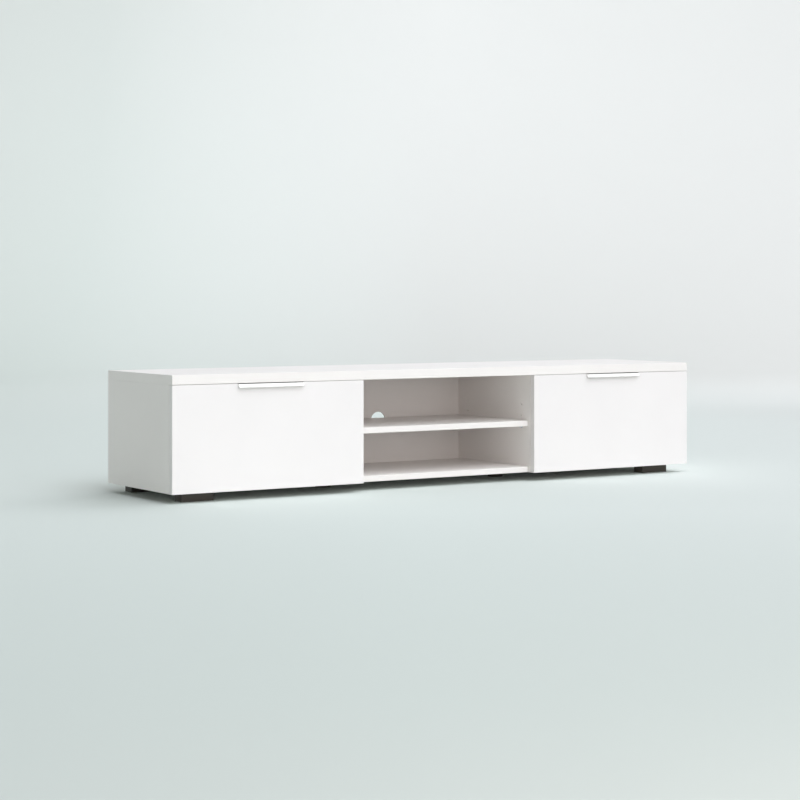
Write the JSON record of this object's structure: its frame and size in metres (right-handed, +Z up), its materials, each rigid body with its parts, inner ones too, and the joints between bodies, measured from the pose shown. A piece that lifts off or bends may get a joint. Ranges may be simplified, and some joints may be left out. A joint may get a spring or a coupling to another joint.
{
  "type": "tv stand with doors",
  "caption": "Long low tv stand: open centre bay with a shelf and a cable hole, and a drop-down flap door with a slim top edge pull at each end, on low block feet.",
  "frame": {"origin": "on the floor, under the centre of the bounding box (handle lips included)", "axes": "+X along the length to the right as seen from the front, +Y towards the back, +Z up; the doors face -Y"},
  "size_m": [1.722, 0.3959, 0.33],
  "materials": {
    "white_board": "satin white melamine on particle board",
    "white_door_board": "smooth satin white melamine on particle board",
    "white_back_board": "white printed hardboard",
    "handle_metal": "satin anodised",
    "dark_feet": "fine moulded texture, dark brown",
    "zinc_plated_steel": "bright zinc plate",
    "zinc_die_cast": "nickel-plated die casting",
    "grey_plastic": "moulded acetal",
    "white_plastic": "moulded",
    "magnet": "sintered ferrite",
    "clear_bumper": "soft clear silicone",
    "beech": "fluted beech"
  },
  "bodies": {
    "carcass": {"back_panel_centre": "white_back_board", "back_panel_left": "white_back_board", "back_panel_right": "white_back_board", "base_panel_centre": "white_board", "base_panel_left": "white_board", "base_panel_right": "white_board", "cam_bolts": "zinc_plated_steel", "cam_locks": "zinc_die_cast", "carcass_fitting_screws": "zinc_plated_steel", "centre_shelf": "white_board", "centre_support_feet": "dark_feet", "dowels": "beech", "foot_front_left": "dark_feet", "foot_front_right": "dark_feet", "foot_rear_left": "dark_feet", "foot_rear_right": "dark_feet", "foot_screws": "zinc_plated_steel", "left_catch_housing": "white_plastic", "left_catch_magnet": "magnet", "left_hinge_arms": "zinc_die_cast", "left_stay_guide_plate": "zinc_plated_steel", "partition_left": "white_board", "partition_right": "white_board", "right_catch_housing": "white_plastic", "right_catch_magnet": "magnet", "right_hinge_arms": "zinc_die_cast", "right_stay_guide_plate": "zinc_plated_steel", "shelf_pins": "zinc_plated_steel", "side_panel_left": "white_board", "side_panel_right": "white_board", "top_panel": "white_board"},
    "left_door": {"left_door_bumpers": "clear_bumper", "left_door_handle": "handle_metal", "left_door_panel": "white_door_board", "left_door_screws": "zinc_plated_steel", "left_hinge_leaves": "zinc_die_cast", "left_hinge_pins": "zinc_plated_steel", "left_stay_bracket": "zinc_plated_steel", "left_stay_rivet": "zinc_plated_steel", "left_strike_plate": "zinc_plated_steel"},
    "left_stay_bar": {"left_stay_bar": "zinc_plated_steel"},
    "left_stay_guide": {"left_stay_guide": "grey_plastic"},
    "right_door": {"right_door_bumpers": "clear_bumper", "right_door_handle": "handle_metal", "right_door_panel": "white_door_board", "right_door_screws": "zinc_plated_steel", "right_hinge_leaves": "zinc_die_cast", "right_hinge_pins": "zinc_plated_steel", "right_stay_bracket": "zinc_plated_steel", "right_stay_rivet": "zinc_plated_steel", "right_strike_plate": "zinc_plated_steel"},
    "right_stay_bar": {"right_stay_bar": "zinc_plated_steel"},
    "right_stay_guide": {"right_stay_guide": "grey_plastic"}
  },
  "joints": [
    {"name": "left_door_hinge", "type": "hinge", "parent": "carcass", "child": "left_door", "pos_m": [-0.574, -0.179, 0.03], "axis": [1, 0, 0], "range_deg": [0, 90]},
    {"name": "left_stay_guide_swivel", "type": "hinge", "parent": "carcass", "child": "left_stay_guide", "pos_m": [-0.8388, -0.05467, 0.14594], "axis": [1, 0, 0], "range_deg": [0, 45]},
    {"name": "left_stay_bar_pivot", "type": "hinge", "parent": "left_door", "child": "left_stay_bar", "pos_m": [-0.8388, -0.165, 0.19942], "axis": [1, 0, 0], "range_deg": [-45, 0]},
    {"name": "right_door_hinge", "type": "hinge", "parent": "carcass", "child": "right_door", "pos_m": [0.574, -0.179, 0.03], "axis": [1, 0, 0], "range_deg": [0, 90]},
    {"name": "right_stay_guide_swivel", "type": "hinge", "parent": "carcass", "child": "right_stay_guide", "pos_m": [0.8388, -0.05467, 0.14594], "axis": [1, 0, 0], "range_deg": [0, 45]},
    {"name": "right_stay_bar_pivot", "type": "hinge", "parent": "right_door", "child": "right_stay_bar", "pos_m": [0.8388, -0.165, 0.19942], "axis": [1, 0, 0], "range_deg": [-45, 0]}
  ],
  "couplings": [
    {"joint": "left_stay_guide_swivel", "follows": "left_door_hinge", "ratio": 0.5},
    {"joint": "left_stay_bar_pivot", "follows": "left_door_hinge", "ratio": -0.5},
    {"joint": "right_stay_guide_swivel", "follows": "right_door_hinge", "ratio": 0.5},
    {"joint": "right_stay_bar_pivot", "follows": "right_door_hinge", "ratio": -0.5}
  ]
}
